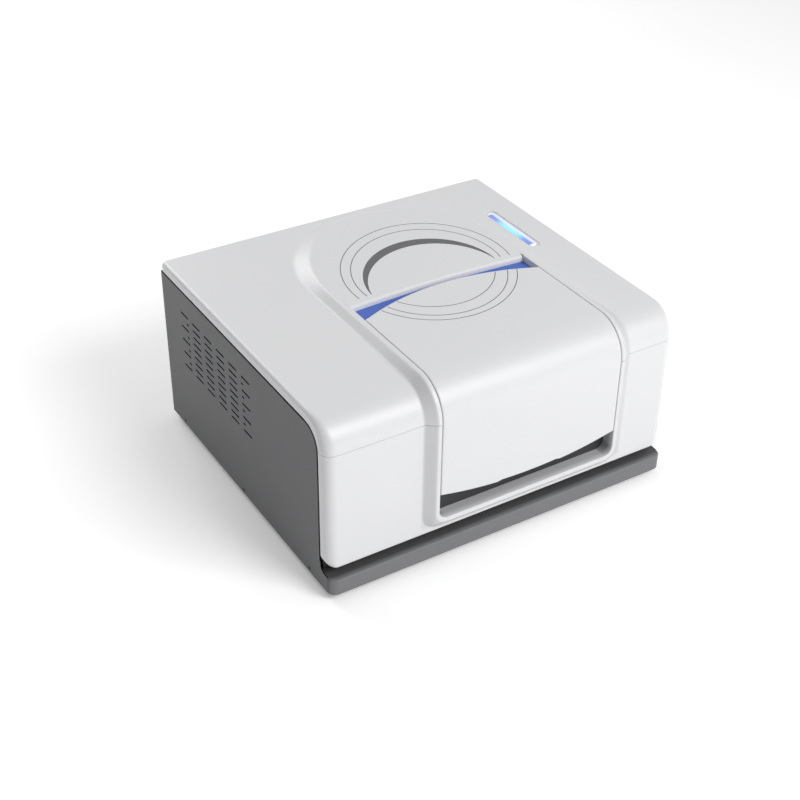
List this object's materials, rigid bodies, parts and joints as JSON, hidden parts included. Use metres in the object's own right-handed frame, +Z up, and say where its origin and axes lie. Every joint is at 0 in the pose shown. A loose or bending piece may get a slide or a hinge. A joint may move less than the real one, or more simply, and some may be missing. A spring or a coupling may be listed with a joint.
{
  "type": "spectrophotometer",
  "caption": "Bench-top spectrophotometer with white moulded covers, a grey sheet-steel case and a wrap-over sample lid that lifts on concealed hinges.",
  "frame": {"origin": "centre of the bounding box in plan, on the table under the rubber feet", "axes": "+Z up, front with the lid faces -Y, +X to the right seen from the front"},
  "size_m": [0.45, 0.411, 0.23],
  "materials": {
    "white_shell": "fine satin paint on a moulded shell",
    "grey_sheet": "fine texture powder coat",
    "plinth_grey": "fine texture powder coat",
    "inlay_grey": "satin",
    "blue_trim": "satin",
    "black_plastic": "fine grain",
    "sill_dark": "fine grain",
    "light_lens": "diffusing, lit from behind",
    "black_coat": "matt black anodised look",
    "bare_steel": "brushed",
    "zinc_screw": "black oxide",
    "bench_alloy": "bead blasted",
    "rubber": "matt",
    "quartz": "polished",
    "mirror_coat": "front-surface aluminium",
    "circuit_board": "solder mask"
  },
  "bodies": {
    "case": {"base_tray": "plinth_grey", "left_side_panel": "grey_sheet", "right_side_panel": "grey_sheet", "rear_panel": "grey_sheet", "corner_posts": "bare_steel", "top_cover": "white_shell", "front_cover": "white_shell", "crescent_inlay": "inlay_grey", "blue_trim_strip": "blue_trim", "sill_panel": "sill_dark", "light_lens": "light_lens", "led_board": "circuit_board", "rubber_feet": "rubber", "side_screws": "zinc_screw", "rear_screws": "zinc_screw", "hinge_pin": "bare_steel", "hinge_brackets": "bare_steel", "lid_bumpers": "rubber", "compartment_tub": "black_coat", "compartment_seal": "rubber", "beam_lenses": "quartz", "guide_rods": "bare_steel", "screw_bearing": "bare_steel", "carriage_motor": "black_plastic", "optical_bench": "bench_alloy", "bench_standoffs": "bare_steel", "lamp_house": "bench_alloy", "deuterium_lamp": "quartz", "halogen_lamp": "quartz", "mirror_motor": "black_plastic", "filter_motor": "black_plastic", "entrance_slit": "black_coat", "collimating_mirror": "mirror_coat", "grating_motor": "black_plastic", "focusing_mirror": "mirror_coat", "exit_slit": "black_coat", "fold_mirrors": "mirror_coat", "beam_splitter": "mirror_coat", "sample_detector": "black_coat", "reference_detector": "black_coat", "main_board": "circuit_board", "power_supply": "bare_steel", "fan_frame": "black_plastic", "fan_guard": "bare_steel", "power_inlet": "black_plastic", "switch_frame": "black_plastic", "usb_port": "bare_steel"},
    "lid": {"sample_lid": "white_shell", "lid_liner": "black_plastic", "lid_arms": "bare_steel"},
    "carriage": {"cuvette_carriage": "bench_alloy", "cuvettes": "quartz"},
    "screw": {"lead_screw": "bare_steel"},
    "grating": {"grating_table": "mirror_coat"},
    "wheel": {"filter_wheel": "black_coat", "filter_glasses": "quartz"},
    "lamp_mirror": {"source_mirror": "mirror_coat"},
    "fan": {"fan_rotor": "black_plastic"},
    "rocker": {"power_rocker": "black_plastic"}
  },
  "joints": [
    {"name": "lid_hinge", "type": "hinge", "parent": "case", "child": "lid", "pos_m": [0.026, 0.012, 0.196], "axis": [-1, 0, 0], "range_deg": [0, 70]},
    {"name": "carriage_slide", "type": "slide", "parent": "case", "child": "carriage", "axis": [0, -1, 0], "range_m": [0, 0.045]},
    {"name": "screw_turn", "type": "hinge", "parent": "case", "child": "screw", "pos_m": [0.026, -0.12, 0.105], "axis": [0, -1, 0], "range_deg": [0, 1620]},
    {"name": "grating_turn", "type": "hinge", "parent": "case", "child": "grating", "pos_m": [0.06, 0.078, 0.14], "axis": [0, 0, 1], "range_deg": [-20, 20]},
    {"name": "filter_wheel_turn", "type": "hinge", "parent": "case", "child": "wheel", "pos_m": [0.1, 0.15, 0.15], "axis": [1, 0, 0], "continuous": true},
    {"name": "lamp_mirror_flip", "type": "hinge", "parent": "case", "child": "lamp_mirror", "pos_m": [0.16, 0.13, 0.13], "axis": [0, 0, 1], "range_deg": [0, 45]},
    {"name": "fan_turn", "type": "hinge", "parent": "case", "child": "fan", "pos_m": [-0.13, 0.19, 0.13], "axis": [0, -1, 0], "continuous": true},
    {"name": "power_switch", "type": "hinge", "parent": "case", "child": "rocker", "pos_m": [0.118, 0.197, 0.052], "axis": [1, 0, 0], "range_deg": [0, 12]}
  ],
  "couplings": [
    {"joint": "screw_turn", "follows": "carriage_slide", "rad_per_m": 628.32}
  ]
}
